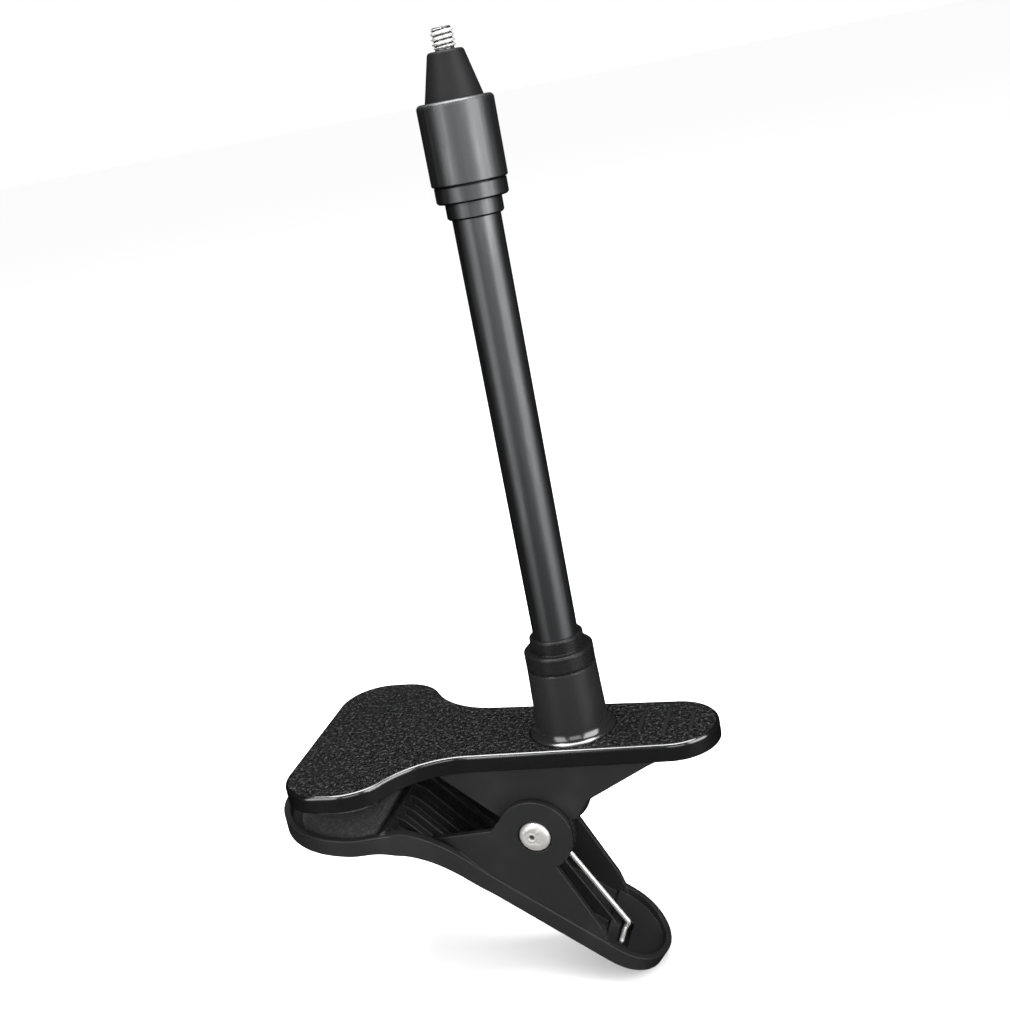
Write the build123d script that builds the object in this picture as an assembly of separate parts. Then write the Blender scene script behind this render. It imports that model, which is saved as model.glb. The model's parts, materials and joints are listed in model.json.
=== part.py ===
from build123d import *
import math
import os

# Clip-on holder stand: a spring clip carries an upright pole, and the pole
# carries a lock collar, a tapered nose and a quarter-inch camera stud.
# Millimetres.  Sizes below are taken from the post's axis (X, Y) and from the
# clip's flat top face (Z).  The finished part is placed with its origin at
# the centre of the upper jaw's grip face.

# ---- clip outline, seen from above ---------------------------------------
nose_front_x = -86.2           # straight front edge of the upper jaw
nose_half = 37.0               # half width of the paddle nose
nose_corner_r = 14.6
lower_corner_r = 25.0          # rounder corners on the lower nose
nose_side_end_x = -66.8        # where the side starts to neck in
neck_out_r = 16.3
neck_in_r = 28.5
handle_half = 16.1             # half width of the handle
handle_end_x = 44.5
handle_taper_deg = 1.96        # each side of the upper handle draws in
lower_overbite = 7.2           # the lower nose stands this far ahead of the upper

# ---- jaw sections ------------------------------------------------------------
plate_t = 2.6
wall_t = 2.0
skirt_h = 5.4
rim_r = 1.1                 # rounding of the top edge all round
lower_floor_t = 2.0
lower_skirt_h = 5.2
lower_bend_z = -21.4           # underside of the lower nose at the bend
nose_rise_deg = 5.5            # the lower nose climbs this much towards its front
bend_x = -56.7                 # underside starts down here
knee_x = -34.8                 # and eases to the handle's slope here
neck_slope_deg = 47.5
handle_slope_deg = 36.6
bend_r = 9.0
knee_r = 40.0
lower_handle_len = 62.6        # knee to handle end, along the slope

# ---- pads --------------------------------------------------------------------
pad_inset = 3.2
lower_pad_lead = 3.6            # the lower pad stands this far ahead of the upper
pad_rear_x = -58.0
pad_corner_r = 3.0
pad_crown_r = 190.0
grip_gap = 0.2              # the closed pads stand this far apart
grip_z = -11.6                 # grip face of the upper pad
upper_seat_z = -4.8            # seat ribs end here, the pad starts

# ---- pivot -------------------------------------------------------------------
pivot_x = -13.75
pivot_z = -28.5
pin_r = 2.5
pin_fixed_gap = 0.02
pin_running_gap = 0.06
pin_head_r = 4.8
pin_head_t = 1.7
pin_tail_r = 4.0
pin_tail_t = 1.1
pin_washer_r = 4.8
pin_washer_t = 0.8
face_gap = 0.05
ear_recess_r = 5.4
ear_recess_t = 0.6
lower_ear_r = 11.8
upper_ear_r = 12.0
lower_cheek_out = 15.7         # outer face of the lower cheeks, from the mid-plane
cheek_t = 2.0
cheek_gap = 0.4

# ---- stiffening ribs ----------------------------------------------------------
rib_t = 1.2
rib_pitch = 6.5
rib_count_each_side = 4
rib_rise = 4.8                 # rib tops above the lower jaw's underside
rib_end_x = -31.7
stop_wall_x = -56.2            # cross wall behind the lower pad
stop_wall_t = 1.3
stop_wall_top_z = -16.1
grip_ridge_h = 0.5
grip_ridge_w = 1.3
grip_ridge_x = 28.9            # middle ridge
grip_ridge_pitch = 7.7
grip_ridge_mid = 17.0
grip_ridge_side = 12.0

# ---- spring ------------------------------------------------------------------
wire_r = 0.8
wire_joint_swell = 0.016    # where a leg leaves the coil
coil_gap = 0.6              # coil to pin
coil_r = pin_r + coil_gap + wire_r
coil_turns = 6
coil_pitch = 1.7
coil_start_y = 0.6          # the lower leg leaves here
hook_len = 7.0
hook_bend_r = 1.0
hook_drop = 2.8             # from the leg's end down into the slot
upper_leg_deg = 23.5        # above the horizontal
slot_len = 12.0
slot_w = 4.2
slot_from_end = 14.7
slot_side = 1.6             # slot edge beyond the leg's line
slot_pan_t = 1.0            # closes the slot from below
slot_pan_side = 1.5
plateau_t = 1.0
plateau_len = 20.3
web_t = 1.4
web_gap = 0.4               # web to spring leg
web_front_x = -10.2
web_front_z = -46.0

# ---- post boss and pole --------------------------------------------------------
boss_top_z = 22.1
boss_top_r = 10.45
boss_base_r = 11.0
boss_fillet = 3.0
boss_chamfer = 0.6
spigot_r = 5.0
spigot_gap = 0.05
joint_gap = 0.3
ferrule_big_r = 10.44
ferrule_big_h = 4.9
ferrule_small_r = 8.08
ferrule_small_h = 4.3
ferrule_chamfer = 0.5
pole_r = 6.75
pole_wall = 1.0
pole_gap = 0.02
socket_depth = 7.4
pole_show = 123.9              # visible length of the pole
top_small_r = 7.85
top_small_h = 4.5
top_big_r = 9.95
top_big_h = 4.3
base_washer_r = 9.4
base_washer_t = 1.2
base_nut_af = 15.0
base_nut_t = 4.5
spigot_tail = 1.2

# ---- head ----------------------------------------------------------------------
collar_r = 10.5
collar_len = 21.6
collar_edge_r = 1.3
collar_foot_r = 0.6
collar_lip_t = 2.1
collar_cavity_r = 9.3
spindle_r = 7.94
spindle_gap = 0.06
disc_t = 1.0
flange_r = 9.0
flange_t = 3.0
flange_gap = 0.2
cone_base_r = 7.9
cone_tip_r = 4.84
cone_len = 12.2
cone_edge_r = 1.0
stud_r = 3.175
stud_show = 5.8
stud_pitch = 1.27
stud_thread_depth = 0.6
stud_crest = 0.34
stud_neck_r = 2.6               # plain shank inside the nose
stud_neck_show = 0.35           # thread starts this far above the nose
stud_clear = 0.03
screw_head_af = 11.1
screw_head_t = 4.1

# ---- derived --------------------------------------------------------------------
lower_cheek_in = lower_cheek_out - cheek_t
upper_cheek_out = lower_cheek_in - cheek_gap
upper_cheek_in = upper_cheek_out - cheek_t
pad_mid_x = (nose_front_x + pad_inset + pad_rear_x) / 2
place = Pos(-pad_mid_x, 0, -grip_z)
neck_turn = math.acos(1 - (nose_half - handle_half) / (neck_out_r + neck_in_r))
knee_z = lower_bend_z - (knee_x - bend_x) * math.tan(math.radians(neck_slope_deg))
slope = math.radians(handle_slope_deg)
ferrule_foot_z = boss_top_z + joint_gap
ferrule_step_z = ferrule_foot_z + ferrule_big_h
pole_low_z = ferrule_step_z + ferrule_small_h
pole_high_z = pole_low_z + pole_show
top_step_z = pole_high_z + top_small_h
top_face_z = top_step_z + top_big_h
collar_low_z = top_face_z + joint_gap
collar_high_z = collar_low_z + collar_len
lip_z = collar_high_z - collar_lip_t
flange_top_z = lip_z - flange_gap
flange_low_z = flange_top_z - flange_t
disc_top_z = flange_low_z - flange_gap
spindle_top_z = disc_top_z - disc_t
cone_low_z = collar_high_z + flange_gap
cone_high_z = cone_low_z + cone_len
stud_tip_z = cone_high_z + stud_show
stud_low_z = cone_high_z + stud_neck_show

side_plane = Plane.XZ


def ring(r_out, r_in, z_low, z_high):
    """Upright tube about the post's axis."""
    body = Cylinder(r_out, z_high - z_low, align=(Align.CENTER, Align.CENTER, Align.MIN))
    bore = Cylinder(r_in, z_high - z_low + 2, align=(Align.CENTER, Align.CENTER, Align.MIN))
    return Pos(0, 0, z_low) * (body - Pos(0, 0, -1) * bore)


def disc(r, z_low, z_high):
    """Upright solid cylinder about the post's axis."""
    return Pos(0, 0, z_low) * Cylinder(r, z_high - z_low, align=(Align.CENTER, Align.CENTER, Align.MIN))


def cross_rod(r, y_low, y_high):
    """Cylinder along Y on the pivot's axis."""
    rod = Cylinder(r, y_high - y_low)
    return Pos(pivot_x, (y_low + y_high) / 2, pivot_z) * Rot(90, 0, 0) * rod


def slab(x_low, x_high, y_low, y_high, z_low, z_high):
    """Box given by its limits."""
    box = Box(x_high - x_low, y_high - y_low, z_high - z_low)
    return Pos((x_low + x_high) / 2, (y_low + y_high) / 2, (z_low + z_high) / 2) * box


def arc(centre, r, start_deg, end_deg):
    """Arc through its two ends and its middle."""
    pts = []
    for deg in (start_deg, (start_deg + end_deg) / 2, end_deg):
        a = math.radians(deg)
        pts.append((centre[0] + r * math.cos(a), centre[1] + r * math.sin(a)))
    return ThreePointArc(*pts)


def paddle(inset, front_x, rear_x, round_end, corner_r=nose_corner_r):
    """Clip outline seen from above, drawn in by an inset."""
    x0 = front_x + inset
    h = nose_half - inset
    g = handle_half - inset
    rc = corner_r - inset
    r1 = neck_out_r - inset
    r2 = neck_in_r + inset
    turn = math.degrees(neck_turn)
    neck_end_x = nose_side_end_x + (r1 + r2) * math.sin(neck_turn)
    draw_in = handle_taper_deg if round_end else 0
    half = [
        Line((x0, 0), (x0, h - rc)),
        arc((x0 + rc, h - rc), rc, 180, 90),
        Line((x0 + rc, h), (nose_side_end_x, h)),
        arc((nose_side_end_x, h - r1), r1, 90, 90 - turn),
        arc((neck_end_x, g + r2), r2, 270 - turn, 270 - draw_in),
    ]
    neck_end = half[-1] @ 1
    if round_end:
        a = math.radians(draw_in)
        reach = (handle_half + neck_in_r) * math.cos(a) - neck_in_r
        full = (reach - (rear_x - neck_end_x) * math.sin(a)) / (1 - math.sin(a))
        end_r = full - inset
        end_c = rear_x - full
        touch = (end_c + end_r * math.sin(a), end_r * math.cos(a))
        half.append(Line(neck_end, touch))
        half.append(arc((end_c, 0), end_r, 90 - draw_in, 0))
    else:
        half.append(Line(neck_end, (rear_x, g)))
        half.append(Line((rear_x, g), (rear_x, 0)))
    other = [mirror(e, about=Plane.XZ) for e in half]
    edges = []
    for e in half + other:
        edges.extend(e.edges())
    return make_face(edges)


def lower_paddle(inset, rear_x):
    """Lower nose seen from above, open towards the handle."""
    front = nose_front_x - lower_overbite
    return paddle(inset, front, rear_x, False, lower_corner_r)


def prism(face, z_low, z_high):
    """Flat face at Z = 0 made into an upright prism."""
    return extrude(Pos(0, 0, z_low) * face, z_high - z_low, dir=(0, 0, 1))


def side_plate(points, y_low, y_high):
    """Polygon given in (x, z), made into a plate between two Y values."""
    face = make_face(Polyline(*points, close=True))
    low = side_plane.offset(-y_low) * face
    return extrude(low, y_high - y_low, dir=(0, 1, 0))


def offset_line(d):
    """Corners of the lower jaw's underside line, moved up square to itself by d."""
    c = math.radians(nose_rise_deg)
    a = math.radians(neck_slope_deg)
    b = slope
    run = bend_x - nose_front_x + 20
    front = (bend_x - run + d * math.sin(c), lower_bend_z + run * math.tan(c) + d * math.cos(c))
    half = (a + c) / 2
    k = d / math.cos((a - c) / 2)
    bend = (bend_x + k * math.sin(half), lower_bend_z + k * math.cos(half))
    half = (a + b) / 2
    k = d / math.cos((a - b) / 2)
    knee = (knee_x + k * math.sin(half), knee_z + k * math.cos(half))
    far = 120.0
    end = (knee[0] + far * math.cos(b), knee[1] - far * math.sin(b))
    return [front, bend, knee, end]


def above(d):
    """Everything above the lower jaw's underside line moved up by d."""
    front, bend, knee, end = offset_line(d)
    line = FilletPolyline(front, bend, knee, end, radius=(bend_r + d, knee_r - d))
    roof = 40.0
    closing = Polyline(end, (end[0], roof), (front[0], roof), front)
    face = make_face(line.edges() + closing.edges())
    w = nose_half + 10
    return extrude(side_plane.offset(w) * face, 2 * w, dir=(0, 1, 0))


def slope_place():
    """Frame on the lower handle's underside: x down the slope, z square to it."""
    return Plane(
        origin=(knee_x, 0, knee_z),
        x_dir=(math.cos(slope), 0, -math.sin(slope)),
        z_dir=(math.sin(slope), 0, math.cos(slope)),
    )


def slope_outline(inset, start_u):
    """Round-ended lower handle, drawn on its own underside."""
    g = handle_half - inset
    end_c = lower_handle_len - handle_half
    edges = [
        Line((start_u, -g), (start_u, g)),
        Line((start_u, g), (end_c, g)),
        arc((end_c, 0), g, 90, -90),
        Line((end_c, -g), (start_u, -g)),
    ]
    return make_face([e.edge() for e in edges])


def ear(r, y_low, y_high):
    """Round end of a cheek about the pivot."""
    return cross_rod(r, y_low, y_high)


def both_sides(plate):
    """A plate and its mirror across the mid-plane."""
    return [plate, mirror(plate, about=Plane.XZ)]


# ---- upper jaw -----------------------------------------------------------------
def upper_cheek():
    """Near cheek of the upper jaw, at negative Y."""
    top = -plate_t / 2
    outline = [
        (-48.7, top),
        (-40.8, -8.6),
        (-24.5, -22.8),
        (pivot_x, pivot_z),
        (pivot_x + 13.5, -23.9),
        (3.9, -18.0),
        (25.5, -6.2),
        (34.3, top),
    ]
    plate = side_plate(outline, -upper_cheek_out, -upper_cheek_in)
    return plate + ear(upper_ear_r, -upper_cheek_out, -upper_cheek_in)


def boss():
    """Tapered post boss with a swept foot."""
    taper = (boss_base_r - boss_top_r) / (boss_top_z - boss_fillet)
    foot_r = boss_base_r + taper * boss_fillet
    pts = [
        (0, -plate_t),
        (foot_r + boss_fillet, -plate_t),
        (foot_r + boss_fillet, 0),
    ]
    sweep_in = arc((boss_base_r + boss_fillet, boss_fillet), boss_fillet, 270, 180)
    outline = [
        Polyline(*pts),
        Line(pts[-1], (boss_base_r + boss_fillet, 0)),
        sweep_in,
        Line((boss_base_r, boss_fillet), (boss_top_r, boss_top_z - boss_chamfer)),
        Line((boss_top_r, boss_top_z - boss_chamfer), (boss_top_r - boss_chamfer, boss_top_z)),
        Polyline((boss_top_r - boss_chamfer, boss_top_z), (0, boss_top_z), (0, -plate_t)),
    ]
    edges = []
    for e in outline:
        edges.extend(e.edges())
    face = make_face(edges)
    return revolve(Plane.XZ * face, Axis.Z)


def upper_jaw():
    """Upper jaw: plate, skirt, cheeks, seat ribs, boss and thumb ridges."""
    shell = prism(paddle(0, nose_front_x, handle_end_x, True), -skirt_h, 0)
    shell = fillet(shell.edges().filter_by_position(Axis.Z, -0.01, 0.01), rim_r)
    cavity = prism(paddle(wall_t, nose_front_x, handle_end_x, True), -skirt_h - 1, -plate_t)
    body = shell - cavity
    inside = prism(paddle(wall_t / 2, nose_front_x, handle_end_x, True), -40, -plate_t / 2)
    extras = []
    for n in range(-rib_count_each_side - 1, rib_count_each_side + 2):
        y = n * rib_pitch
        extras.append(slab(nose_front_x, pad_rear_x, y - rib_t / 2, y + rib_t / 2, upper_seat_z, 0))
    for n in range(-1, 2):
        y = n * rib_pitch
        extras.append(slab(stop_wall_x, -spigot_r - 12, y - rib_t / 2, y + rib_t / 2, -skirt_h, 0))
    extras.append(slab(stop_wall_x, stop_wall_x + stop_wall_t, -nose_half, nose_half, -skirt_h - 1.2, 0))
    cleat_x = upper_leg_end()[0] + wire_r + web_gap
    extras.append(slab(cleat_x, cleat_x + rib_t, -upper_cheek_in, upper_cheek_in, -skirt_h - 0.6, 0))
    for e in extras:
        body = body + (e & inside)
    for plate in both_sides(upper_cheek()):
        body = body + plate
    for n in (-1, 0, 1):
        length = grip_ridge_mid if n == 0 else grip_ridge_side
        x = grip_ridge_x + n * grip_ridge_pitch
        ridge = SlotOverall(length, grip_ridge_w, rotation=90)
        body = body + prism(Pos(x, 0) * ridge, -0.5, grip_ridge_h)
    body = body + boss()
    body = body - disc(spigot_r + spigot_gap, -20, boss_top_z + 5)
    body = body - cross_rod(pin_r + pin_fixed_gap, -30, 30)
    return body


# ---- lower jaw -----------------------------------------------------------------
def lower_cheek():
    """Near cheek of the lower jaw, at negative Y, running up to the pivot."""
    outline = [
        (-52.9, -29.1),
        (-27.4, -26.3),
        (-21.9, -20.2),
        (pivot_x, pivot_z + lower_ear_r / 2),
        (pivot_x + 5.4, -40.4),
        (1.8, -61.7),
        (3.6, -68.4),
        (6.0, -94.0),
        (-52.9, -64.0),
    ]
    plate = side_plate(outline, -lower_cheek_out, -lower_cheek_in)
    plate = plate & above(lower_floor_t / 2)
    return plate + ear(lower_ear_r, -lower_cheek_out, -lower_cheek_in)


def lower_shell():
    """Bent tray of the lower jaw with its skirt."""
    cut_x = knee_x + 26
    nose = prism(lower_paddle(0, cut_x), -90, 10) & above(0)
    nose = nose - above(lower_skirt_h)
    frame = slope_place()
    handle = extrude(frame * slope_outline(0, 8.0), lower_skirt_h, dir=frame.z_dir)
    body = nose + handle
    hollow = prism(lower_paddle(wall_t, cut_x - 0.5), -90, 10) & above(lower_floor_t)
    hollow = hollow - above(lower_skirt_h + 3)
    deep = frame.offset(lower_floor_t) * slope_outline(wall_t, 9.0)
    body = body - hollow - extrude(deep, lower_skirt_h, dir=frame.z_dir)
    return body


def lower_jaw():
    """Lower jaw: tray, cheeks, ribs, cross wall, web and the spring's blind slot."""
    body = lower_shell()
    inside = prism(lower_paddle(wall_t / 2, knee_x + 20), -90, 10) & above(lower_floor_t / 2)
    ribs = []
    for n in range(-rib_count_each_side, rib_count_each_side + 1):
        y = n * rib_pitch
        ribs.append(slab(stop_wall_x, rib_end_x, y - rib_t / 2, y + rib_t / 2, -60, 0))
    roof = above(rib_rise)
    for r in ribs:
        body = body + ((r & inside) - roof)
    stop = slab(stop_wall_x, stop_wall_x + stop_wall_t, -nose_half, nose_half, -60, stop_wall_top_z)
    body = body + (stop & inside)
    for plate in both_sides(lower_cheek()):
        body = body + plate
    frame = slope_place()
    plateau_u = lower_handle_len - plateau_len
    plateau = slope_outline(wall_t / 2, plateau_u)
    body = body + extrude(frame.offset(lower_floor_t / 2) * plateau, lower_floor_t / 2 + plateau_t, dir=frame.z_dir)
    web_end_u = lower_handle_len - slot_from_end - slot_w / 2 - 1.4
    web_y = coil_start_y - wire_r - web_gap
    web = [
        (web_front_x, web_front_z),
        (knee_x + web_end_u * math.cos(slope) + 2, knee_z - web_end_u * math.sin(slope) + 2),
        (knee_x + web_end_u * math.cos(slope), knee_z - web_end_u * math.sin(slope)),
        (web_front_x - 6, web_front_z - 20),
        (web_front_x - 6, web_front_z - 2),
    ]
    body = body + (side_plate(web, web_y - web_t, web_y) & above(lower_floor_t / 2))
    slot = frame * Pos(lower_handle_len - slot_from_end, coil_start_y + slot_side - slot_len / 2, 0)
    body = body - slot * Box(slot_w, slot_len, 20)
    pan_w = slot_w + 2 * slot_pan_side
    pan_len = slot_len + 2 * slot_pan_side
    body = body + slot * Pos(0, 0, -slot_pan_t / 2) * Box(pan_w, pan_len, slot_pan_t)
    body = body - cross_rod(pin_r + pin_running_gap, -30, 30)
    for side in (-1, 1):
        y0 = side * lower_cheek_out
        y1 = side * (lower_cheek_out - ear_recess_t)
        body = body - cross_rod(ear_recess_r, min(y0, y1) - 0.5 * (side < 0), max(y0, y1) + 0.5 * (side > 0))
    return body


# ---- pads ------------------------------------------------------------------------
def pad_outline(front, corner_r):
    """Pad seen from above: the nose drawn in, with a straight rear edge."""
    face = paddle(pad_inset, front, handle_end_x, False, corner_r)
    keep = Pos((front + pad_rear_x) / 2, 0) * Rectangle(pad_rear_x - front, 2 * nose_half)
    cut = face & keep
    rear = cut.vertices().filter_by_position(Axis.X, pad_rear_x - 0.01, pad_rear_x + 0.01)
    return fillet(rear, pad_corner_r)


def upper_pad():
    """Crowned pad under the upper nose."""
    pad = prism(pad_outline(nose_front_x, nose_corner_r), grip_z, upper_seat_z)
    ball = Pos(pad_mid_x, 0, grip_z + pad_crown_r) * Sphere(pad_crown_r)
    return pad & ball


def lower_pad():
    """Crowned pad in the lower nose's tray."""
    top = grip_z - grip_gap
    pad = prism(pad_outline(nose_front_x - lower_pad_lead, lower_corner_r - lower_pad_lead), lower_bend_z, top)
    ball = Pos(pad_mid_x, 0, top - pad_crown_r) * Sphere(pad_crown_r)
    return (pad & above(lower_floor_t)) & ball


# ---- pivot hardware -----------------------------------------------------------
def pivot_pin():
    """Rivet: domed head with a centre dimple, shank and spread tail."""
    seat = lower_cheek_out - ear_recess_t + face_gap
    shank = cross_rod(pin_r, -seat, seat + pin_washer_t)
    head = cross_rod(pin_head_r, -seat - pin_head_t, -seat)
    head = fillet(head.edges().group_by(Axis.Y)[0], pin_head_t * 0.7)
    tail_y = seat + pin_washer_t + face_gap
    tail = cross_rod(pin_tail_r, tail_y - face_gap, tail_y + pin_tail_t)
    tail = fillet(tail.edges().group_by(Axis.Y)[-1], pin_tail_t * 0.6)
    dimple = cross_rod(0.7, -seat - pin_head_t - 1, -seat - pin_head_t + 0.8)
    return shank + head + tail - dimple


def pin_washer():
    """Plain washer under the rivet's tail."""
    seat = lower_cheek_out - ear_recess_t + face_gap
    body = cross_rod(pin_washer_r, seat, seat + pin_washer_t - 0.01)
    return body - cross_rod(pin_r + pin_fixed_gap, seat - 1, seat + 3)


def on_slope(u, y, w):
    """Point at u down the lower handle and w square above its underside."""
    x = knee_x + u * math.cos(slope) + w * math.sin(slope)
    z = knee_z - u * math.sin(slope) + w * math.cos(slope)
    return (x, y, z)


def upper_leg_start():
    """Top of the coil, where the upper leg leaves it."""
    a = math.radians(upper_leg_deg)
    y = coil_start_y - coil_turns * coil_pitch
    return (pivot_x - coil_r * math.sin(a), y, pivot_z + coil_r * math.cos(a))


def upper_leg_end():
    """Where the upper leg meets the underside of the handle."""
    x, y, z = upper_leg_start()
    top = -plate_t - wire_r - face_gap
    return (x + (top - z) / math.tan(math.radians(upper_leg_deg)), y, top)


def lower_leg_points():
    """Lower leg: coil tangent, bend over the slot, drop and hook."""
    u = lower_handle_len - slot_from_end
    over = lower_floor_t + plateau_t + wire_r
    bend = on_slope(u, coil_start_y, over)
    drop = on_slope(u, coil_start_y, over - hook_drop)
    tip = (drop[0], coil_start_y - hook_len, drop[2])
    dx = bend[0] - pivot_x
    dz = bend[2] - pivot_z
    toward = math.atan2(dz, dx) - math.acos(coil_r / math.hypot(dx, dz))
    leave = (pivot_x + coil_r * math.cos(toward), coil_start_y, pivot_z + coil_r * math.sin(toward))
    return leave, bend, drop, tip, math.degrees(toward)


def wire(path):
    """Round wire along a path."""
    return sweep(Plane(origin=path @ 0, z_dir=path % 0) * Circle(wire_r), path=path)


def torsion_spring():
    """Closed coil round the pin with a leg to each handle."""
    leave, bend, drop, tip, leave_deg = lower_leg_points()
    start = upper_leg_start()
    end = upper_leg_end()
    y_end = start[1]
    leave_up = math.degrees(math.atan2(start[2] - pivot_z, start[0] - pivot_x))
    turns = coil_turns + ((leave_deg - leave_up) % 360) / 360
    helix = Helix(coil_turns * coil_pitch / turns, coil_turns * coil_pitch, coil_r)
    coil = sweep(Plane(origin=helix @ 0, z_dir=helix % 0) * Circle(wire_r), path=helix, is_frenet=True)
    coil = Rot(0, -leave_deg, 0) * Rot(90, 0, 0) * coil
    coil = Pos(pivot_x, coil_start_y, pivot_z) * coil
    lower = wire(FilletPolyline(leave, bend, drop, tip, radius=hook_bend_r))
    upper = wire(FilletPolyline(start, end, (end[0], y_end + hook_len, end[2]), radius=hook_bend_r))
    body = coil
    for point in (leave, start):
        body = body + Pos(*point) * Sphere(wire_r + wire_joint_swell)
    return body + lower + upper


# ---- pole ------------------------------------------------------------------------
def lower_ferrule():
    """Stepped ferrule with its spigot through the boss."""
    big = disc(ferrule_big_r, ferrule_foot_z, ferrule_step_z)
    big = chamfer(big.edges().group_by(Axis.Z)[-1], ferrule_chamfer)
    small = disc(ferrule_small_r, ferrule_step_z, pole_low_z)
    small = chamfer(small.edges().group_by(Axis.Z)[-1], ferrule_chamfer)
    tail_z = -plate_t - face_gap - base_washer_t - base_nut_t - spigot_tail
    spigot = disc(spigot_r, tail_z, ferrule_foot_z)
    spigot = chamfer(spigot.edges().group_by(Axis.Z)[0], ferrule_chamfer)
    socket = disc(pole_r + pole_gap, pole_low_z - socket_depth, pole_low_z + 1)
    return big + small + spigot - socket


def pole_tube():
    """Straight pole, seated in both ferrules."""
    return ring(pole_r, pole_r - pole_wall, pole_low_z - socket_depth, pole_high_z + socket_depth)


def upper_ferrule():
    """Stepped ferrule with the spindle that the collar runs on."""
    small = disc(top_small_r, pole_high_z, top_step_z)
    small = chamfer(small.edges().group_by(Axis.Z)[0], ferrule_chamfer)
    big = disc(top_big_r, top_step_z, top_face_z)
    big = chamfer(big.edges().group_by(Axis.Z)[0], ferrule_chamfer)
    spindle = disc(spindle_r, top_face_z, spindle_top_z)
    socket = disc(pole_r + pole_gap, pole_high_z - 1, pole_high_z + socket_depth)
    return small + big + spindle - socket


def base_washer():
    """Plain washer under the clip's plate."""
    return ring(base_washer_r, spigot_r + spigot_gap, -plate_t - base_washer_t, -plate_t)


def base_nut():
    """Hexagon nut that holds the ferrule's spigot."""
    top = -plate_t - base_washer_t - face_gap
    hexagon = RegularPolygon(base_nut_af / 2, 6, major_radius=False)
    body = prism(hexagon, top - base_nut_t, top)
    return body - disc(spigot_r + pole_gap, top - base_nut_t - 1, top + 1)


# ---- head ------------------------------------------------------------------------
def lock_collar():
    """Plain collar that clamps the nose's flange."""
    body = disc(collar_r, collar_low_z, collar_high_z)
    body = fillet(body.edges().group_by(Axis.Z)[-1], collar_edge_r)
    body = fillet(body.edges().group_by(Axis.Z)[0], collar_foot_r)
    body = body - disc(spindle_r + spindle_gap, collar_low_z - 1, collar_high_z + 1)
    return body - disc(collar_cavity_r, spindle_top_z - 0.8, lip_z)


def friction_disc():
    """Thin disc between the spindle's end and the nose's flange."""
    return ring(flange_r - 0.2, stud_r + 0.8, spindle_top_z, disc_top_z)


def swivel_cone():
    """Tapered nose with a flange under the collar's lip."""
    flange = disc(flange_r, flange_low_z, flange_top_z)
    neck = disc(spindle_r, flange_top_z, cone_low_z)
    nose = Pos(0, 0, cone_low_z) * Cone(
        cone_base_r, cone_tip_r, cone_len, align=(Align.CENTER, Align.CENTER, Align.MIN)
    )
    nose = fillet(nose.edges().group_by(Axis.Z)[-1], cone_edge_r)
    body = flange + neck + nose
    hexagon = RegularPolygon(screw_head_af / 2 + stud_clear, 6, major_radius=False)
    body = body - prism(hexagon, flange_low_z - 1, flange_low_z + screw_head_t)
    return body - disc(stud_neck_r + stud_clear, flange_low_z, cone_high_z + 1)


def mount_screw():
    """Quarter-inch stud with a hexagon head caught in the nose."""
    hexagon = RegularPolygon(screw_head_af / 2, 6, major_radius=False)
    body = prism(hexagon, flange_low_z, flange_low_z + screw_head_t - stud_clear)
    shank = disc(stud_neck_r, flange_low_z + 1, stud_low_z + 0.1)
    thread = disc(stud_r, stud_low_z, stud_tip_z)
    thread = chamfer(thread.edges().group_by(Axis.Z)[-1], stud_thread_depth)
    body = body + shank + thread
    half_root = 0.1
    half_top = (stud_pitch - stud_crest) / 2
    z = stud_tip_z - stud_thread_depth - stud_crest - half_top
    while z - half_top > stud_low_z + 0.2:
        groove = make_face(Polyline(
            (stud_r + 0.1, z - half_top - 0.1),
            (stud_r - stud_thread_depth, z - half_root),
            (stud_r - stud_thread_depth, z + half_root),
            (stud_r + 0.1, z + half_top + 0.1),
            close=True,
        ))
        body = body - revolve(Plane.XZ * groove, Axis.Z)
        z = z - stud_pitch
    return body


def save(name, shape):
    """Place a piece in the part's frame and write it."""
    placed = place * shape
    solids = placed.solids()
    out = solids[0] if len(solids) == 1 else Compound(children=list(solids))
    out.label = name
    export_step(out, "parts/" + name + ".step")
    box = out.bounding_box()
    print(name, len(solids), round(sum(s.volume for s in solids), 1), box.min, box.max)


def main():
    """Build every piece and write its file."""
    os.makedirs("parts", exist_ok=True)
    pieces = {
        "upper_jaw": upper_jaw,
        "upper_pad": upper_pad,
        "lower_jaw": lower_jaw,
        "lower_pad": lower_pad,
        "pivot_pin": pivot_pin,
        "pin_washer": pin_washer,
        "base_washer": base_washer,
        "base_nut": base_nut,
        "lower_ferrule": lower_ferrule,
        "pole_tube": pole_tube,
        "upper_ferrule": upper_ferrule,
        "lock_collar": lock_collar,
        "friction_disc": friction_disc,
        "swivel_cone": swivel_cone,
        "mount_screw": mount_screw,
        "torsion_spring": torsion_spring,
    }
    for name, make in pieces.items():
        save(name, make())


main()
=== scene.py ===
"""Looks of a clip-on holder stand: spring clip, post, lock collar and threaded nose."""

import json
import logging
import math
from dataclasses import dataclass
from enum import Enum
from typing import Sequence

import bmesh
import bpy
import numpy as np
from mathutils import Matrix, Vector, noise
from mathutils.kdtree import KDTree

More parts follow.
